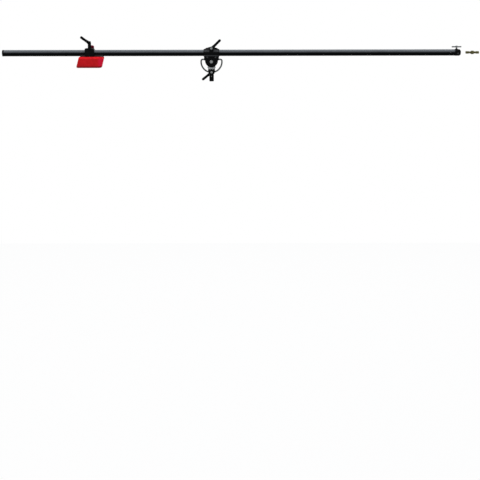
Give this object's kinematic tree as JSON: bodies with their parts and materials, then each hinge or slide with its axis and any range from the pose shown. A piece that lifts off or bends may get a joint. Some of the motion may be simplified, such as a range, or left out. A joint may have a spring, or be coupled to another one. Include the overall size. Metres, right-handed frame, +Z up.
{
  "type": "overhead boom arm",
  "caption": "Long boom tube in a tilting, clamping head on a stand stud, with a sliding counterweight and a locking end socket with its spigot.",
  "frame": {"origin": "centre of the flat foot of the stand stud", "axes": "+X along the boom towards its front socket, +Z up along the stud, +Y to the side of the head that carries the two locking levers"},
  "size_m": [3.024, 0.1944, 0.2841],
  "materials": {
    "black_casting": "cast alloy with satin black paint",
    "black_stud": "turned steel, blackened",
    "black_tube": "drawn tube with satin black finish",
    "black_plastic": "fine-grained moulding",
    "black_screw": "black oxide",
    "bright_steel": "bright plated steel",
    "grey_alloy": "cast and machined, unpainted",
    "spring_steel": "hard drawn",
    "red_paint": "satin red paint over cast iron",
    "brass": "turned, lightly tarnished",
    "fibre": "pressed friction fibre",
    "rubber": "moulded pad"
  },
  "bodies": {
    "stand_stud": {"stud": "black_stud", "stud_pin": "spring_steel", "lock_body": "black_casting", "yoke": "grey_alloy", "yoke_pin_rear": "spring_steel", "yoke_pin_front": "spring_steel", "anvil_bolt": "bright_steel", "lock_pad": "brass", "friction_disc_near": "fibre", "friction_disc_far": "fibre", "pivot_washer_near": "black_screw", "pivot_washer_far": "black_screw", "pivot_bolt": "bright_steel", "pivot_nut": "bright_steel"},
    "tilt_lock": {"tilt_lever": "black_plastic", "tilt_lever_insert": "bright_steel", "tilt_lever_spring": "spring_steel", "tilt_lever_screw": "black_screw"},
    "head": {"cheek_far": "black_casting", "cheek_near": "black_casting", "arc_rod": "bright_steel", "clamp_washer": "black_screw", "clamp_bolt": "bright_steel", "arc_pin_rear": "spring_steel", "cheek_screw_rear": "black_screw", "cheek_nut_rear": "black_screw", "liner_screw_near_rear": "black_screw", "liner_screw_far_rear": "black_screw", "arc_pin_front": "spring_steel", "cheek_screw_front": "black_screw", "cheek_nut_front": "black_screw", "liner_screw_near_front": "black_screw", "liner_screw_far_front": "black_screw"},
    "clamp_lock": {"clamp_lever": "black_plastic", "clamp_lever_insert": "bright_steel", "clamp_lever_spring": "spring_steel", "clamp_lever_screw": "black_screw"},
    "liner": {"boom_liner": "black_plastic"},
    "boom": {"boom_tube": "black_tube", "rear_cap": "black_plastic", "end_socket": "black_casting", "socket_pin": "spring_steel", "catch_screw": "black_screw"},
    "socket_lock": {"t_screw": "bright_steel", "t_bar": "bright_steel"},
    "drawn_spigot": {"spigot": "brass"},
    "weight": {"counterweight": "red_paint", "saddle_pad": "rubber", "weight_jaw": "black_casting", "jaw_pin": "spring_steel"},
    "weight_lock": {"weight_lever": "black_plastic", "weight_lever_insert": "bright_steel", "weight_lever_spring": "spring_steel", "weight_lever_screw": "black_screw"}
  },
  "joints": [
    {"name": "boom_tilt", "type": "hinge", "parent": "stand_stud", "child": "head", "pos_m": [0, 0, 0.123], "axis": [0, 1, 0], "range_deg": [-60, 60]},
    {"name": "tilt_lock_turn", "type": "hinge", "parent": "stand_stud", "child": "tilt_lock", "pos_m": [0, 0.0173, 0.057], "axis": [0, 1, 0], "range_deg": [-90, 0]},
    {"name": "clamp_lock_turn", "type": "hinge", "parent": "head", "child": "clamp_lock", "pos_m": [0, 0.0263, 0.2069], "axis": [0, 1, 0], "range_deg": [-60, 60]},
    {"name": "boom_roll", "type": "hinge", "parent": "head", "child": "liner", "pos_m": [0, 0, 0.1795], "axis": [1, 0, 0], "continuous": true},
    {"name": "boom_slide", "type": "slide", "parent": "liner", "child": "boom", "axis": [1, 0, 0], "range_m": [-0.4, 0.25]},
    {"name": "socket_lock_turn", "type": "hinge", "parent": "boom", "child": "socket_lock", "pos_m": [1.554, 0, 0.1795], "axis": [0, 0, 1], "range_deg": [-180, 180]},
    {"name": "spigot_slide", "type": "slide", "parent": "boom", "child": "drawn_spigot", "axis": [1, 0, 0], "range_m": [-0.065, 0]},
    {"name": "weight_slide", "type": "slide", "parent": "boom", "child": "weight", "axis": [1, 0, 0], "range_m": [-0.42, 0.28]},
    {"name": "weight_lock_turn", "type": "hinge", "parent": "weight", "child": "weight_lock", "pos_m": [-0.77, -0.0285, 0.1795], "axis": [0, 0, 1], "range_deg": [-90, 90]}
  ]
}
